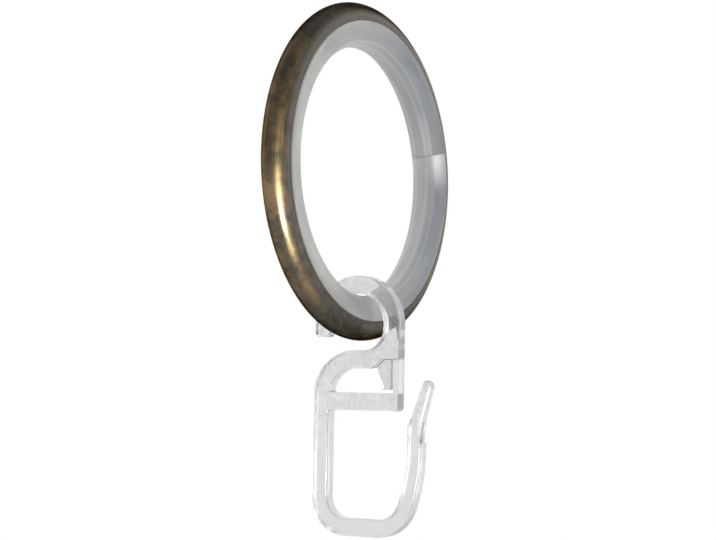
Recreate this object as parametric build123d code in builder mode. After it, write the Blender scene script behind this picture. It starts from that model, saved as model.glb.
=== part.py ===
from build123d import *
import os
from math import cos, radians, sin

# Curtain ring with a pleat hook, in millimetres.
# The origin is the ring's centre, +X runs along the rod, +Z is up and the hook hangs below the ring.

# Ring
outer_diameter = 38.0
section_height = 5.0
section_width = 3.7
brass_width = 3.25
brass_height = 2.1
brass_wall = 0.45
lip_thickness = 0.35
lip_opening = 1.2
inlay_clearance = 0.05
shoulder_round = 0.15
land_width = 1.3
bevel_width = 0.75
bevel_share = 0.17
bevel_round = 0.3
joint_gap = 0.02
joint_angle = 12.0

# Hook moulding
hook_depth = 1.7
wire_width = 2.0
edge_round = 0.28
loop_wall = 2.0
loop_play = 0.6
hang_clearance = 0.3
hang_angle = 1.3
nub_length = 1.4
nub_round = 0.6
throat_gap = 1.07
throat_lead = 0.17
bow_radius = 4.15
window_height = 2.7
eye_height = 12.0
corner_round = 0.25
bar_end_round = 0.5
bar_step = 0.12
stub_length = 2.86
heel_radius = 3.35
toe_radius = 3.8
toe_lean = 17.0
base_length = 3.63
toe_lead = 0.5
shank_radius = 22.0
shank_length = 1.5
shank_width = 1.84
tip_bend_radius = 5.0
tip_bend = 17.0
tip_length = 3.93
tip_width = 1.36
tip_trim = 0.06
flare_length = 2.2
flare_width = 0.5

# Spring strip and its stop tongue
strip_width = 0.7
strip_slot = 0.35
tongue_gap = 0.38
tongue_top = 2.85
tongue_foot = 1.15
tongue_round = 0.35
tongue_depth = 1.1
tongue_root = 0.3
notch_width = 2.65
notch_slope = 1.1

# Places worked out from the sizes above
outer_radius = outer_diameter / 2
bore_radius = outer_radius - section_height
half_section = section_width / 2
half_brass = brass_width / 2
rim_radius = outer_radius - brass_height
nose_height = section_height - brass_height
bevel_height = bevel_share * nose_height
hollow_reach = half_brass - brass_wall
hollow_height = brass_height - lip_thickness - brass_wall

loop_inner = max(nose_height, half_section) + loop_play
loop_outer = loop_inner + loop_wall
loop_drop = bore_radius + loop_inner - hang_clearance
half_wire = wire_width / 2
half_depth = hook_depth / 2
throat_y = -(outer_radius - loop_drop + throat_gap)
throat_round = -throat_y - throat_lead
bow_y = throat_y - half_wire
window_top_y = bow_y - half_wire
crossbar_y = window_top_y - window_height - half_wire
base_y = crossbar_y - wire_width - eye_height
leg_x = half_wire - loop_outer
loop_middle = (loop_inner + loop_outer) / 2
half_shank = shank_width / 2
half_tip = tip_width / 2
toe_turn = 90 - toe_lean
toe_shift = (wire_width - shank_width) * sin(radians(toe_turn))
shank_top_y = base_y + toe_radius + (shank_radius - toe_radius) * cos(radians(toe_turn))

hook_plane = Plane(
    origin=(0, 0, -loop_drop),
    x_dir=(cos(radians(hang_angle)), 0, -sin(radians(hang_angle))),
    z_dir=(0, -1, 0),
)

os.makedirs("parts", exist_ok=True)

# Brass C-channel: arched outside, with lips returned over the channel's mouth
with BuildPart() as metal_ring:
    with BuildSketch(Plane.XZ) as channel_section:
        with BuildLine():
            back = EllipticalCenterArc((0, rim_radius), half_brass, brass_height, arc_size=180)
            Line(back @ 0, back @ 1)
        make_face()
        lip_top = (0, rim_radius + lip_thickness)
        with BuildLine():
            hollow = EllipticalCenterArc(lip_top, hollow_reach, hollow_height, arc_size=180)
            Line(hollow @ 0, hollow @ 1)
        make_face(mode=Mode.SUBTRACT)
        with Locations((0, rim_radius)):
            Rectangle(lip_opening, lip_thickness, align=(Align.CENTER, Align.MIN), mode=Mode.SUBTRACT)
    revolve(axis=Axis.X)
metal_ring.part.label = "metal_ring"
export_step(metal_ring.part, "parts/metal_ring.step")

# Plastic inlay: nose with a flat land, shoulders for the brass, neck through the lips and bead behind them
with BuildPart() as glide_inlay:
    with BuildSketch(Plane.XZ) as inlay_section:
        shoulder = rim_radius - inlay_clearance
        half_land = land_width / 2
        with BuildLine():
            Polyline(
                (-half_section, shoulder),
                (-half_land - bevel_width, bore_radius + bevel_height),
                (-half_land, bore_radius),
                (half_land, bore_radius),
                (half_land + bevel_width, bore_radius + bevel_height),
                (half_section, shoulder),
                close=True,
            )
        make_face()
        creases = inlay_section.vertices().sort_by(Axis.Y)[0:4]
        fillet(creases, bevel_round)
        corners = inlay_section.vertices().sort_by(Axis.Y)[-2:]
        fillet(corners, shoulder_round)
        neck_width = lip_opening - 2 * inlay_clearance
        bead_floor = rim_radius + lip_thickness + inlay_clearance
        with Locations((0, shoulder)):
            Rectangle(neck_width, bead_floor - shoulder, align=(Align.CENTER, Align.MIN))
        bead_reach = hollow_reach - inlay_clearance
        bead_height = hollow_height - 2 * inlay_clearance
        with BuildLine():
            bead = EllipticalCenterArc((0, bead_floor), bead_reach, bead_height, arc_size=180)
            Line(bead @ 0, bead @ 1)
        make_face()
    revolve(axis=Axis.X)
    joint_plane = Plane.XY.rotated((joint_angle, 0, 0))
    with BuildSketch(joint_plane):
        with Locations((0, rim_radius)):
            Rectangle(2 * section_width, 2 * section_height)
    extrude(amount=joint_gap / 2, both=True, mode=Mode.SUBTRACT)
glide_inlay.part.label = "glide_inlay"
export_step(glide_inlay.part, "parts/glide_inlay.step")

# Centre lines of the hook, drawn flat about the loop's centre
with BuildLine() as loop_line:
    Line((-loop_middle, -nub_length), (-loop_middle, 0))
    crown = CenterArc((0, 0), loop_middle, 180, -180)
    Line(crown @ 1, (loop_middle, bow_y))
with BuildLine() as wire_line:
    bow = Line((loop_outer, bow_y), (leg_x + bow_radius, bow_y))
    bend = JernArc(bow @ 1, (-1, 0), bow_radius, 90)
    leg = Line(bend @ 1, (leg_x, base_y + heel_radius))
    heel = JernArc(leg @ 1, (0, -1), heel_radius, 90)
    base = Line(heel @ 1, heel @ 1 + (base_length, 0))

# Hook moulding: one flat profile, drawn through and rounded at its edges
with BuildPart() as pleat_hook:
    with BuildSketch(hook_plane) as profile:
        trace(loop_line.edges(), line_width=loop_wall)
        trace(wire_line.edges(), line_width=wire_width)
        # Toe, shank and tip: two edges that turn alike, but start apart, so that the hook narrows
        with BuildLine():
            feet = []
            ends = []
            for side in (1, -1):
                feet.append(base @ 1 + (0, side * half_wire))
                lead = Line(feet[-1], feet[-1] + (toe_lead + side * toe_shift / 2, 0))
                toe = JernArc(lead @ 1, (1, 0), toe_radius - side * half_wire, toe_turn)
                shank = JernArc(toe @ 1, toe % 1, shank_radius - side * half_shank, toe_lean)
                rise = Line(shank @ 1, ((shank @ 1).X, shank_top_y + shank_length))
                kick = JernArc(rise @ 1, (0, 1), tip_bend_radius + side * half_shank, -tip_bend)
                ends.append(PolarLine(kick @ 1, tip_length, direction=kick % 1))
            Line(feet)
            crest = (ends[0] @ 1 + ends[1] @ 1) / 2 + (ends[0] % 1) * half_shank
            ThreePointArc(ends[0] @ 1, crest, ends[1] @ 1)
        make_face()
        # Notch under the bow, which frees the spring strip
        strip_side = loop_outer - strip_width
        with BuildLine():
            Polyline(
                (strip_side, bow_y),
                (strip_side, window_top_y),
                (strip_side - notch_width, window_top_y),
                (strip_side - notch_width + notch_slope, bow_y),
                close=True,
            )
        make_face(mode=Mode.SUBTRACT)
        # Crossbar and the thin spring strip that carries its free end
        with Locations((leg_x, crossbar_y)):
            Rectangle(loop_outer - leg_x, wire_width, align=(Align.MIN, Align.CENTER))
        with Locations((loop_outer, crossbar_y)):
            Rectangle(strip_width, bow_y - crossbar_y, align=(Align.MAX, Align.MIN))
        rounds = [
            ((-loop_outer, -nub_length), nub_round),
            ((-loop_inner, -nub_length), nub_round),
            ((loop_inner, throat_y), throat_round),
            ((loop_outer, crossbar_y - half_wire), bar_end_round),
            ((leg_x + half_wire, crossbar_y + half_wire), corner_round),
            ((leg_x + half_wire, crossbar_y - half_wire), corner_round),
        ]
        for place, radius in rounds:
            fillet(profile.vertices().sort_by_distance(place)[0], radius)
    extrude(amount=half_depth, both=True)
    for side in (0, -1):
        face = pleat_hook.faces().filter_by(Axis.Y).sort_by(Axis.Y)[side]
        fillet(face.edges(), edge_round)
    # Crossbar, a little thinner beyond its stub
    stub_x = leg_x + half_wire + stub_length
    bar_reach = loop_outer + strip_slot - stub_x
    for side in (1, -1):
        with BuildSketch(hook_plane.offset(side * (half_depth - bar_step))):
            with Locations((stub_x, crossbar_y + half_wire)):
                Rectangle(bar_reach, 2 * wire_width, align=(Align.MIN, Align.MAX))
        extrude(amount=side * bar_step, mode=Mode.SUBTRACT)
    # Tongue, thinner than the rest, that stops the strip from bending inwards
    with BuildSketch(hook_plane):
        tongue_side = strip_side - strip_slot
        tongue_y = crossbar_y + half_wire + tongue_gap
        root_y = bow_y + tongue_root
        with BuildLine():
            tongue = FilletPolyline(
                (tongue_side, root_y),
                (tongue_side, tongue_y),
                (tongue_side - tongue_foot, tongue_y),
                (tongue_side - tongue_top, root_y),
                radius=tongue_round,
            )
            Line(tongue @ 1, tongue @ 0)
        make_face()
    extrude(amount=tongue_depth / 2, both=True)
    # Round tip: a dome on a slim cone, which flares out into the flat shank
    with BuildSketch(hook_plane):
        brow = (ends[0] @ 1 + ends[1] @ 1) / 2
        heading = ends[0] % 1
        outward = Vector(heading.Y, -heading.X)
        waist_reach = half_shank - tip_trim
        flare_reach = waist_reach + flare_width
        waste_reach = flare_reach + half_tip
        flare_end = brow - heading * (tip_length + flare_length)
        with BuildLine():
            dome = JernArc(brow + heading * half_tip, outward, half_tip, -90)
            Polyline(
                dome @ 1,
                brow - heading * tip_length + outward * waist_reach,
                flare_end + outward * flare_reach,
                flare_end + outward * waste_reach,
                brow + heading * shank_width + outward * waste_reach,
                brow + heading * shank_width,
                dome @ 0,
            )
        make_face()
    tip_foot = hook_plane.from_local_coords(brow)
    tip_crest = hook_plane.from_local_coords(dome @ 0)
    revolve(axis=Axis(tip_foot, tip_crest - tip_foot), mode=Mode.SUBTRACT)
pleat_hook.part.label = "pleat_hook"
export_step(pleat_hook.part, "parts/pleat_hook.step")
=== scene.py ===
from math import cos, radians, sin

import bpy
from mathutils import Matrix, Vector

# Curtain ring with a pleat hook, dressed in the frame of its solids.
# Lengths are in metres, the ring's axis is X, and the hook hangs below the ring in the XZ plane.

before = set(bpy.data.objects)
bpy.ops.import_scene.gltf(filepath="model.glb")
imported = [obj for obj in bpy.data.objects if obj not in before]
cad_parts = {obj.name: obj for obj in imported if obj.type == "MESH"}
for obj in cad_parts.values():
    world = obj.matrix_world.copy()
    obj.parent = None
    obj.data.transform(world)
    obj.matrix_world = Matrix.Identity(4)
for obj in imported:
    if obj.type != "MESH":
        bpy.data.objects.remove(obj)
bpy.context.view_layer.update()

MM = 0.001

# Photograph's frame
IMAGE_WIDTH = 716
FOCAL_PIXELS = 2320.0
SENSOR_MM = 36.0
NEAR_CLIP = 10 * MM
CAMERA_PLACE = Vector((134.0, -222.35, -25.37)) * MM
CAMERA_AZIMUTH = 31.12
CAMERA_RISE = 3.155

# Ring, as in the solids. Angles are counted from its top, towards +Y
RIM_RADIUS = 16.9 * MM
CREASE_RADIUS = 14.5 * MM
HALF_LAND = 0.65 * MM
JOINT_ANGLE = radians(78.0)

# Brass: sizes of its patterns, and places on it, some as heights above its rim
COPPER_GOLD_SIDE = radians(-95.0)
CLOUD_SIZE = 4.0 * MM
STAIN_SIZE = 2.2 * MM
STAIN_SHIFT = (0.0, 0.0, -9 * MM)
SPECK_SIZE = 0.45 * MM
RUBBING_PER_MM = (4.0, 4.0, 0.16)
RUBBING_DEPTH = 0.02 * MM
RIM_FADE = (0.5 * MM, 1.5 * MM)
BOTTOM_FADE = (-15 * MM, -3 * MM)
SHOULDER_START = (0.9 * MM, 1.4 * MM)
SHOULDER_END = (1.55 * MM, 2.0 * MM)

# Inlay: sizes of its patterns, and places on it, some as distances from the ring's axis
MILK_SIZE = 2.4 * MM
MILK_STRETCH = (1.0, 1.0, 0.25)
DRAWING_PER_MM = (3.3, 3.3, 0.12)
DRAWING_DEPTH = 0.01 * MM
SOAK_DEPTH = 0.9 * MM
NEAR_TO_FAR = (-12 * MM, 12 * MM)
LAND_FADE = (14.1 * MM, 14.6 * MM)
CREASE_FADE = (0.04 * MM, 0.22 * MM)
# Reach round the ring and distances from its axis of the painted highlight below the joint
JOINT_HIGHLIGHT_TURN = radians(20)
JOINT_HIGHLIGHT_OFF_BORE = (14.2 * MM, 14.8 * MM)
JOINT_HIGHLIGHT_OFF_RIM = (15.4 * MM, 16.6 * MM)

# Hook: sizes of its patterns, and the heights between which its mottling grows stronger
FLOW_SIZE = 1.4 * MM
FLOW_DEPTH = 0.06 * MM
SCUFF_SIZE = 0.6 * MM
MOTTLE_RISE = (-34 * MM, -28 * MM)

# Floor: it is matt within the first distance from its middle and white beyond the second
FLOOR_HEIGHT = -120 * MM
FLOOR_SIZE = 12.0
FLOOR_FADE = (0.12, 0.45)

# Surroundings: the way to the backdrop, the level that gleams show away from it, and that of soft light
BACKDROP = (-0.494, 0.869, 0.0)
DIM_ROOM = 0.4
SOFT_ROOM = 0.57

# Soft boxes: azimuth and rise in degrees, distance, width, height, watts, and whether one is only a gleam.
# The others are hooded, so that they light and do not gleam. All are turned to the middle of the part
MIDDLE = Vector((0.0, 0.0, -10 * MM))
SOFT_BOXES = {
    "gleam_box": (58, -19, 0.22, 0.09, 0.08, 0.5, True),
    "top_box": (330, 50, 0.60, 0.40, 0.40, 2.0, False),
    "side_box": (120, 10, 0.50, 0.20, 0.30, 0.6, False),
    "back_box": (165, 8, 0.50, 0.20, 0.30, 0.75, False),
}

# Colour sockets of a Mix node, which share their names with its number sockets
SHARE = 0
UNDER = 6
OVER = 7
MIXED = 2


def linear(code):
    """Turn an sRGB hex colour into the linear colour that a shader reads."""
    parts = [int(code[i:i + 2], 16) / 255 for i in (1, 3, 5)]
    return [p / 12.92 if p <= 0.04045 else ((p + 0.055) / 1.055) ** 2.4 for p in parts] + [1.0]


def add(tree, kind, inputs=None, **settings):
    """Add one node: settings are its options, inputs its sockets, each a value or another node's socket."""
    node = tree.nodes.new("ShaderNode" + kind)
    for name, value in settings.items():
        setattr(node, name, value)
    for socket, value in (inputs or {}).items():
        if isinstance(value, bpy.types.NodeSocket):
            tree.links.new(value, node.inputs[socket])
        else:
            node.inputs[socket].default_value = value
    return node


def start_material(name):
    """A new material with an empty tree."""
    material = bpy.data.materials.new(name)
    material.use_nodes = True
    material.node_tree.nodes.clear()
    return material, material.node_tree


def round_the_ring(tree):
    """Object coordinates, and the same taken round the ring's axis: out from it, its turn, and unrolled."""
    place = add(tree, "TexCoord").outputs["Object"]
    split = add(tree, "SeparateXYZ", {"Vector": place})
    across = split.outputs["X"]
    side = split.outputs["Y"]
    height = split.outputs["Z"]
    turn = add(tree, "Math", {0: side, 1: height}, operation="ARCTAN2")
    # Unrolled from the top down both sides, so that no seam shows at the bottom
    from_top = add(tree, "Math", {0: turn.outputs[0]}, operation="ABSOLUTE")
    along = add(tree, "Math", {0: from_top.outputs[0], 1: RIM_RADIUS}, operation="MULTIPLY")
    flat = add(tree, "CombineXYZ", {"X": 0.0, "Y": side, "Z": height})
    out = add(tree, "VectorMath", {0: flat.outputs[0]}, operation="LENGTH").outputs["Value"]
    unrolled = add(tree, "CombineXYZ", {"X": across, "Y": out, "Z": along.outputs[0]})
    return {
        "place": place,
        "across": across,
        "side": side,
        "height": height,
        "out": out,
        "turn": turn.outputs[0],
        "unrolled": unrolled.outputs[0],
    }


# Antiqued brass: rolled strip, darkened in a bath, rubbed back by hand and lacquered.
# The eye gets a dark brown metal with gold where the rubbing went deep and a painted sheen of gold along
# both shoulders, clouds of copper and olive, and fine lines that run round the ring.
def antique_brass():
    material, tree = start_material("antiqued_brass")
    ring = round_the_ring(tree)
    cloud = add(
        tree,
        "TexNoise",
        {"Vector": ring["place"], "Scale": 1 / CLOUD_SIZE, "Detail": 3.0, "Roughness": 0.6},
    )
    shifted = add(tree, "VectorMath", {0: ring["place"], 1: STAIN_SHIFT}, operation="ADD")
    stain = add(
        tree,
        "TexNoise",
        {"Vector": shifted.outputs[0], "Scale": 1 / STAIN_SIZE, "Detail": 4.0, "Roughness": 0.6},
    )
    speck = add(
        tree,
        "TexNoise",
        {"Vector": ring["place"], "Scale": 1 / SPECK_SIZE, "Detail": 3.0, "Roughness": 0.65},
    )
    # Rubbing lines are finer than a pixel, so they are drawn 0.25 mm apart
    stretched = add(tree, "VectorMath", {0: ring["unrolled"], 1: RUBBING_PER_MM}, operation="MULTIPLY")
    rubbing = add(
        tree,
        "TexNoise",
        {"Vector": stretched.outputs[0], "Scale": 1 / MM, "Detail": 4.0, "Roughness": 0.6},
    )
    # The bath's brown, with darker specks
    speck_share = add(tree, "MapRange", {"Value": speck.outputs["Fac"], "From Min": 0.4, "From Max": 0.66})
    brown = add(
        tree,
        "Mix",
        {SHARE: speck_share.outputs[0], UNDER: linear("#504c48"), OVER: linear("#393734")},
        data_type="RGBA",
    )
    # The two opposite sides of the ring, towards -Y and +Y, away from its top and bottom
    to_side = add(tree, "Math", {0: ring["turn"], 1: COPPER_GOLD_SIDE}, operation="SUBTRACT")
    to_side = add(tree, "Math", {0: to_side.outputs[0]}, operation="COSINE")
    to_side = add(tree, "Math", {0: to_side.outputs[0]}, operation="ABSOLUTE")
    side_share = add(
        tree,
        "MapRange",
        {"Value": to_side.outputs[0], "From Min": 0.58, "From Max": 0.99, "To Min": 0.05},
    )
    # Stains of copper on those two sides, and of olive all round
    copper_share = add(
        tree,
        "MapRange",
        {"Value": stain.outputs["Fac"], "From Min": 0.42, "From Max": 0.58, "To Max": 0.8},
    )
    copper_share = add(
        tree, "Math", {0: copper_share.outputs[0], 1: side_share.outputs[0]}, operation="MULTIPLY"
    )
    coppered = add(
        tree,
        "Mix",
        {SHARE: copper_share.outputs[0], UNDER: brown.outputs[MIXED], OVER: linear("#866f5c")},
        data_type="RGBA",
    )
    olive_share = add(
        tree,
        "MapRange",
        {"Value": stain.outputs["Fac"], "From Min": 0.47, "From Max": 0.34, "To Max": 0.6},
    )
    stained = add(
        tree,
        "Mix",
        {SHARE: olive_share.outputs[0], UNDER: coppered.outputs[MIXED], OVER: linear("#585a51")},
        data_type="RGBA",
    )
    # Both rims are greyer and brighter, least at the bottom
    rim = add(
        tree,
        "MapRange",
        {
            "Value": ring["out"],
            "From Min": RIM_RADIUS + RIM_FADE[0],
            "From Max": RIM_RADIUS + RIM_FADE[1],
            "To Min": 1.0,
            "To Max": 0.0,
        },
        interpolation_type="SMOOTHSTEP",
    )
    rim_by_height = add(
        tree,
        "MapRange",
        {
            "Value": ring["height"],
            "From Min": BOTTOM_FADE[0],
            "From Max": BOTTOM_FADE[1],
            "To Min": 0.1,
            "To Max": 0.6,
        },
    )
    rim_share = add(tree, "Math", {0: rim.outputs[0], 1: rim_by_height.outputs[0]}, operation="MULTIPLY")
    greyed = add(
        tree,
        "Mix",
        {SHARE: rim_share.outputs[0], UNDER: stained.outputs[MIXED], OVER: linear("#7d7971")},
        data_type="RGBA",
    )
    # Gold along both shoulders of the arch, in lines and clouds, most on those two sides: partly metal
    # rubbed back, partly painted sheen where the gleam runs along the ring
    above_rim = add(
        tree,
        "MapRange",
        {
            "Value": ring["out"],
            "From Min": RIM_RADIUS + SHOULDER_START[0],
            "From Max": RIM_RADIUS + SHOULDER_START[1],
        },
        interpolation_type="SMOOTHSTEP",
    )
    below_crown = add(
        tree,
        "MapRange",
        {
            "Value": ring["out"],
            "From Min": RIM_RADIUS + SHOULDER_END[0],
            "From Max": RIM_RADIUS + SHOULDER_END[1],
            "To Min": 1.0,
            "To Max": 0.25,
        },
        interpolation_type="SMOOTHSTEP",
    )
    cloud_share = add(tree, "MapRange", {"Value": cloud.outputs["Fac"], "From Min": 0.32, "From Max": 0.58})
    line_share = add(
        tree,
        "MapRange",
        {"Value": rubbing.outputs["Fac"], "From Min": 0.3, "From Max": 0.65, "To Min": 0.35},
    )
    gold_and_sheen_share = above_rim
    for share in (below_crown, cloud_share, line_share, side_share):
        gold_and_sheen_share = add(
            tree, "Math", {0: gold_and_sheen_share.outputs[0], 1: share.outputs[0]}, operation="MULTIPLY"
        )
    gold_and_sheen = add(
        tree,
        "Mix",
        {SHARE: gold_and_sheen_share.outputs[0], UNDER: greyed.outputs[MIXED], OVER: linear("#b89f66")},
        data_type="RGBA",
    )
    edge_tint = add(
        tree,
        "Mix",
        {SHARE: rim.outputs[0], UNDER: linear("#8a857c"), OVER: linear("#f4f2ee")},
        data_type="RGBA",
    )
    # The lines that were rubbed deepest are the smoothest
    gloss = add(
        tree,
        "MapRange",
        {"Value": rubbing.outputs["Fac"], "From Min": 0.4, "From Max": 0.62, "To Min": 0.44, "To Max": 0.2},
    )
    relief = add(tree, "Math", {0: rubbing.outputs["Fac"], 1: speck.outputs["Fac"]}, operation="ADD")
    bump = add(tree, "Bump", {"Height": relief.outputs[0], "Strength": 0.2, "Distance": RUBBING_DEPTH})
    shader = add(
        tree,
        "BsdfPrincipled",
        {
            "Base Color": gold_and_sheen.outputs[MIXED],
            "Metallic": 1.0,
            "Roughness": gloss.outputs[0],
            "Specular Tint": edge_tint.outputs[MIXED],
            "Normal": bump.outputs[0],
        },
    )
    add(tree, "OutputMaterial", {"Surface": shader.outputs[0]})
    return material


# Natural polyethylene: an extruded strip, bent round and snapped into the brass.
# The eye gets a milky grey that lets light soak in, faint draw lines along the strip and a dull waxy gloss,
# with painted shade on its far side, painted highlight lines along its creases and a painted highlight
# below its joint.
def milky_polyethylene():
    material, tree = start_material("milky_polyethylene")
    ring = round_the_ring(tree)
    drawn_out = add(tree, "VectorMath", {0: ring["unrolled"], 1: MILK_STRETCH}, operation="MULTIPLY")
    cloud = add(
        tree,
        "TexNoise",
        {"Vector": drawn_out.outputs[0], "Scale": 1 / MILK_SIZE, "Detail": 3.0, "Roughness": 0.5},
    )
    # Draw lines are finer than a pixel, so they are drawn 0.3 mm apart
    stretched = add(tree, "VectorMath", {0: ring["unrolled"], 1: DRAWING_PER_MM}, operation="MULTIPLY")
    drawing = add(
        tree,
        "TexNoise",
        {"Vector": stretched.outputs[0], "Scale": 1 / MM, "Detail": 3.0, "Roughness": 0.5},
    )
    # Milky clouds, a little yellower on the near side of the strip, and darker and bluer on the far side,
    # where the darkening is painted shade
    far_shade_share = add(
        tree,
        "MapRange",
        {"Value": ring["side"], "From Min": NEAR_TO_FAR[0], "From Max": NEAR_TO_FAR[1]},
    )
    dark = add(
        tree,
        "Mix",
        {SHARE: far_shade_share.outputs[0], UNDER: linear("#a0a29f"), OVER: linear("#7f8591")},
        data_type="RGBA",
    )
    light = add(
        tree,
        "Mix",
        {SHARE: far_shade_share.outputs[0], UNDER: linear("#d0cfc9"), OVER: linear("#b6b8b8")},
        data_type="RGBA",
    )
    milk_share = add(tree, "MapRange", {"Value": cloud.outputs["Fac"], "From Min": 0.22, "From Max": 0.78})
    milky = add(
        tree,
        "Mix",
        {SHARE: milk_share.outputs[0], UNDER: dark.outputs[MIXED], OVER: light.outputs[MIXED]},
        data_type="RGBA",
    )
    line_share = add(
        tree,
        "MapRange",
        {"Value": drawing.outputs["Fac"], "From Min": 0.45, "From Max": 0.7, "To Max": 0.06},
    )
    lined = add(
        tree,
        "Mix",
        {SHARE: line_share.outputs[0], UNDER: milky.outputs[MIXED], OVER: linear("#c8caca")},
        data_type="RGBA",
    )
    # The land, which rides on the rod, is paler
    land_share = add(
        tree,
        "MapRange",
        {
            "Value": ring["out"],
            "From Min": LAND_FADE[0],
            "From Max": LAND_FADE[1],
            "To Min": 0.5,
            "To Max": 0.0,
        },
    )
    paler_land = add(
        tree,
        "Mix",
        {SHARE: land_share.outputs[0], UNDER: lined.outputs[MIXED], OVER: linear("#d4d5d5")},
        data_type="RGBA",
    )
    # Painted highlight lines along the creases
    off_crease = add(tree, "Math", {0: ring["out"], 1: CREASE_RADIUS}, operation="SUBTRACT")
    off_crease = add(tree, "Math", {0: off_crease.outputs[0]}, operation="ABSOLUTE")
    off_land = add(tree, "Math", {0: ring["across"]}, operation="ABSOLUTE")
    off_land = add(tree, "Math", {0: off_land.outputs[0], 1: HALF_LAND}, operation="SUBTRACT")
    off_land = add(tree, "Math", {0: off_land.outputs[0]}, operation="ABSOLUTE")
    off_edge = add(tree, "Math", {0: off_crease.outputs[0], 1: off_land.outputs[0]}, operation="MINIMUM")
    crease_highlight_share = add(
        tree,
        "MapRange",
        {
            "Value": off_edge.outputs[0],
            "From Min": CREASE_FADE[0],
            "From Max": CREASE_FADE[1],
            "To Min": 0.18,
            "To Max": 0.0,
        },
    )
    # A painted highlight on the strip below its joint, between bore and rim
    past_joint = add(tree, "Math", {0: ring["turn"], 1: JOINT_ANGLE}, operation="GREATER_THAN")
    near_joint = add(
        tree,
        "MapRange",
        {
            "Value": ring["turn"],
            "From Min": JOINT_ANGLE,
            "From Max": JOINT_ANGLE + JOINT_HIGHLIGHT_TURN,
            "To Min": 0.95,
            "To Max": 0.0,
        },
        interpolation_type="SMOOTHSTEP",
    )
    off_rim = add(
        tree,
        "MapRange",
        {
            "Value": ring["out"],
            "From Min": JOINT_HIGHLIGHT_OFF_RIM[0],
            "From Max": JOINT_HIGHLIGHT_OFF_RIM[1],
            "To Min": 1.0,
            "To Max": 0.45,
        },
    )
    off_bore = add(
        tree,
        "MapRange",
        {
            "Value": ring["out"],
            "From Min": JOINT_HIGHLIGHT_OFF_BORE[0],
            "From Max": JOINT_HIGHLIGHT_OFF_BORE[1],
            "To Min": 0.1,
        },
    )
    joint_highlight = near_joint
    for share in (past_joint, off_rim, off_bore):
        joint_highlight = add(tree, "Math", {0: joint_highlight.outputs[0], 1: share.outputs[0]}, operation="MULTIPLY")
    painted_highlight_share = add(tree, "Math", {0: crease_highlight_share.outputs[0], 1: joint_highlight.outputs[0]}, operation="MAXIMUM")
    highlighted = add(
        tree,
        "Mix",
        {SHARE: painted_highlight_share.outputs[0], UNDER: paler_land.outputs[MIXED], OVER: linear("#f6f7f7")},
        data_type="RGBA",
    )
    # Under the painted highlight the strip is not clear, so that the highlight shows whiter
    clearness = add(tree, "MapRange", {"Value": joint_highlight.outputs[0], "To Min": 0.25, "To Max": 0.0})
    gloss = add(
        tree,
        "MapRange",
        {"Value": drawing.outputs["Fac"], "From Min": 0.3, "From Max": 0.7, "To Min": 0.42, "To Max": 0.5},
    )
    bump = add(
        tree, "Bump", {"Height": drawing.outputs["Fac"], "Strength": 0.04, "Distance": DRAWING_DEPTH}
    )
    shader = add(
        tree,
        "BsdfPrincipled",
        {
            "Base Color": highlighted.outputs[MIXED],
            "Roughness": gloss.outputs[0],
            "IOR": 1.51,
            "Transmission Weight": clearness.outputs[0],
            "Subsurface Weight": 0.6,
            "Subsurface Radius": (1.0, 1.0, 1.05),
            "Subsurface Scale": SOAK_DEPTH,
            "Normal": bump.outputs[0],
        },
    )
    add(tree, "OutputMaterial", {"Surface": shader.outputs[0]})
    return material


# Clear polycarbonate: injection moulded in one shot.
# The eye gets a water-clear grey body with darker lines where its rounded edges bend the light,
# a slow ripple left by the flow into the mould, and pale mottling that is a little duller.
def clear_polycarbonate():
    material, tree = start_material("clear_polycarbonate")
    place = add(tree, "TexCoord").outputs["Object"]
    flow = add(
        tree, "TexNoise", {"Vector": place, "Scale": 1 / FLOW_SIZE, "Detail": 3.0, "Roughness": 0.55}
    )
    scuff = add(
        tree, "TexNoise", {"Vector": place, "Scale": 1 / SCUFF_SIZE, "Detail": 4.0, "Roughness": 0.6}
    )
    plain = add(
        tree,
        "Mix",
        {SHARE: flow.outputs["Fac"], UNDER: linear("#dadadb"), OVER: linear("#e4e4e5")},
        data_type="RGBA",
    )
    # The upper half is mottled and the lower half nearly plain
    height = add(tree, "SeparateXYZ", {"Vector": place}).outputs["Z"]
    mottle = add(
        tree,
        "MapRange",
        {
            "Value": height,
            "From Min": MOTTLE_RISE[0],
            "From Max": MOTTLE_RISE[1],
            "To Min": 0.1,
            "To Max": 0.7,
        },
    )
    patch = add(tree, "MapRange", {"Value": scuff.outputs["Fac"], "From Min": 0.45, "From Max": 0.62})
    patch_share = add(tree, "Math", {0: patch.outputs[0], 1: mottle.outputs[0]}, operation="MULTIPLY")
    mottled = add(
        tree,
        "Mix",
        {SHARE: patch_share.outputs[0], UNDER: plain.outputs[MIXED], OVER: linear("#f0f0f1")},
        data_type="RGBA",
    )
    gloss = add(
        tree,
        "MapRange",
        {"Value": scuff.outputs["Fac"], "From Min": 0.45, "From Max": 0.75, "To Min": 0.04, "To Max": 0.12},
    )
    bump = add(tree, "Bump", {"Height": flow.outputs["Fac"], "Strength": 0.15, "Distance": FLOW_DEPTH})
    shader = add(
        tree,
        "BsdfPrincipled",
        {
            "Base Color": mottled.outputs[MIXED],
            "Roughness": gloss.outputs[0],
            "IOR": 1.5,
            "Transmission Weight": 0.82,
            "Normal": bump.outputs[0],
        },
    )
    add(tree, "OutputMaterial", {"Surface": shader.outputs[0]})
    return material


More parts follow.
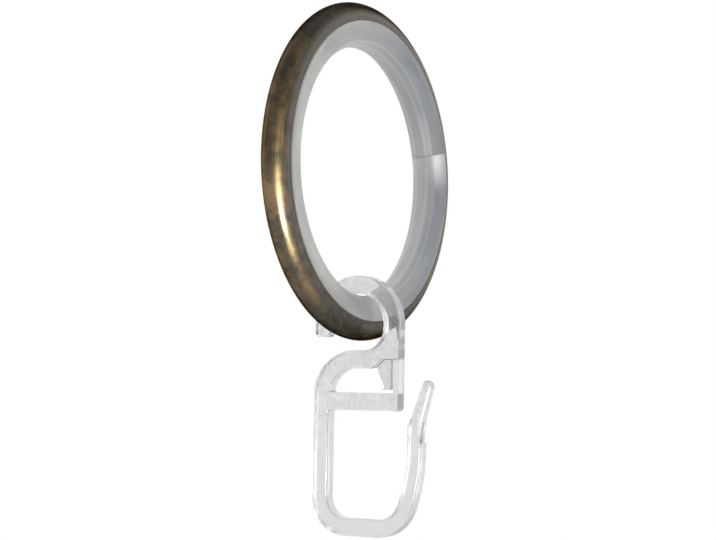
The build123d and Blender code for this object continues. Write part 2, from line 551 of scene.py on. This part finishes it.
# Pale matt floor: it keeps the part's shadow, runs out into white, and can't be seen from below
def pale_floor():
    material, tree = start_material("pale_floor")
    place = add(tree, "TexCoord").outputs["Object"]
    far = add(tree, "VectorMath", {0: place}, operation="LENGTH")
    white_share = add(
        tree,
        "MapRange",
        {"Value": far.outputs["Value"], "From Min": FLOOR_FADE[0], "From Max": FLOOR_FADE[1]},
        interpolation_type="SMOOTHSTEP",
    )
    path = add(tree, "LightPath")
    seen = path.outputs["Is Camera Ray"]
    for ray in ("Is Transmission Ray", "Is Glossy Ray"):
        seen = add(tree, "Math", {0: seen, 1: path.outputs[ray]}, operation="MAXIMUM").outputs[0]
    white_share = add(tree, "Math", {0: seen, 1: white_share.outputs[0]}, operation="MULTIPLY")
    matt = add(tree, "BsdfDiffuse", {"Color": linear("#f2f2f2")})
    white = add(tree, "Emission", {"Color": linear("#ffffff"), "Strength": 1.0})
    top = add(tree, "MixShader", {0: white_share.outputs[0], 1: matt.outputs[0], 2: white.outputs[0]})
    below = add(tree, "BsdfTransparent")
    face = add(tree, "NewGeometry")
    both = add(tree, "MixShader", {0: face.outputs["Backfacing"], 1: top.outputs[0], 2: below.outputs[0]})
    add(tree, "OutputMaterial", {"Surface": both.outputs[0]})
    return material


# Finishes of the three pieces
finishes = {
    "metal_ring": antique_brass(),
    "glide_inlay": milky_polyethylene(),
    "pleat_hook": clear_polycarbonate(),
}
for name, finish in finishes.items():
    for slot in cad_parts[name].material_slots:
        slot.material = finish

# Camera at the photograph's angle
azimuth = radians(CAMERA_AZIMUTH)
rise = radians(CAMERA_RISE)
aim = Vector((-sin(azimuth) * cos(rise), cos(azimuth) * cos(rise), sin(rise)))
camera_data = bpy.data.cameras.new("camera")
camera_data.sensor_width = SENSOR_MM
camera_data.lens = SENSOR_MM * FOCAL_PIXELS / IMAGE_WIDTH
camera_data.clip_start = NEAR_CLIP
camera = bpy.data.objects.new("camera", camera_data)
camera.location = CAMERA_PLACE
camera.rotation_mode = "QUATERNION"
camera.rotation_quaternion = aim.to_track_quat("-Z", "Y")
bpy.context.scene.collection.objects.link(camera)
bpy.context.scene.camera = camera

# Floor below the hanging part
bpy.ops.object.select_all(action="DESELECT")
bpy.ops.mesh.primitive_plane_add(size=FLOOR_SIZE, location=(0, 0, FLOOR_HEIGHT))
floor = bpy.context.object
floor.name = "floor"
floor.data.materials.append(pale_floor())

# White surroundings, dimmer in gleams towards the side that the camera stands on
world = bpy.data.worlds.new("studio")
bpy.context.scene.world = world
world.use_nodes = True
tree = world.node_tree
tree.nodes.clear()
direction = add(tree, "TexCoord").outputs["Generated"]
facing = add(tree, "VectorMath", {0: direction, 1: BACKDROP}, operation="DOT_PRODUCT")
room = add(
    tree,
    "MapRange",
    {"Value": facing.outputs["Value"], "From Min": -0.35, "From Max": 0.55, "To Min": DIM_ROOM},
    interpolation_type="SMOOTHSTEP",
)
path = add(tree, "LightPath")
level = add(tree, "Mix", {"Factor": path.outputs["Is Glossy Ray"], "A": SOFT_ROOM, "B": room.outputs[0]})
for ray in ("Is Transmission Ray", "Is Camera Ray"):
    level = add(tree, "Mix", {"Factor": path.outputs[ray], "A": level.outputs[0], "B": 1.0})
sky = add(tree, "Background", {"Color": linear("#ffffff"), "Strength": level.outputs[0]})
add(tree, "OutputWorld", {"Surface": sky.outputs[0]})

# Soft boxes round the part
for name, (azimuth, rise, distance, width, height, power, gleams) in SOFT_BOXES.items():
    lamp = bpy.data.lights.new(name, "AREA")
    lamp.shape = "RECTANGLE"
    lamp.size = width
    lamp.size_y = height
    lamp.energy = power
    box = bpy.data.objects.new(name, lamp)
    azimuth = radians(azimuth)
    rise = radians(rise)
    outward = Vector((sin(azimuth) * cos(rise), -cos(azimuth) * cos(rise), sin(rise)))
    box.location = MIDDLE + outward * distance
    box.rotation_mode = "QUATERNION"
    box.rotation_quaternion = (-outward).to_track_quat("-Z", "Y")
    box.visible_camera = False
    box.visible_glossy = gleams
    box.visible_diffuse = not gleams
    bpy.context.scene.collection.objects.link(box)

bpy.context.scene.view_settings.view_transform = "Standard"
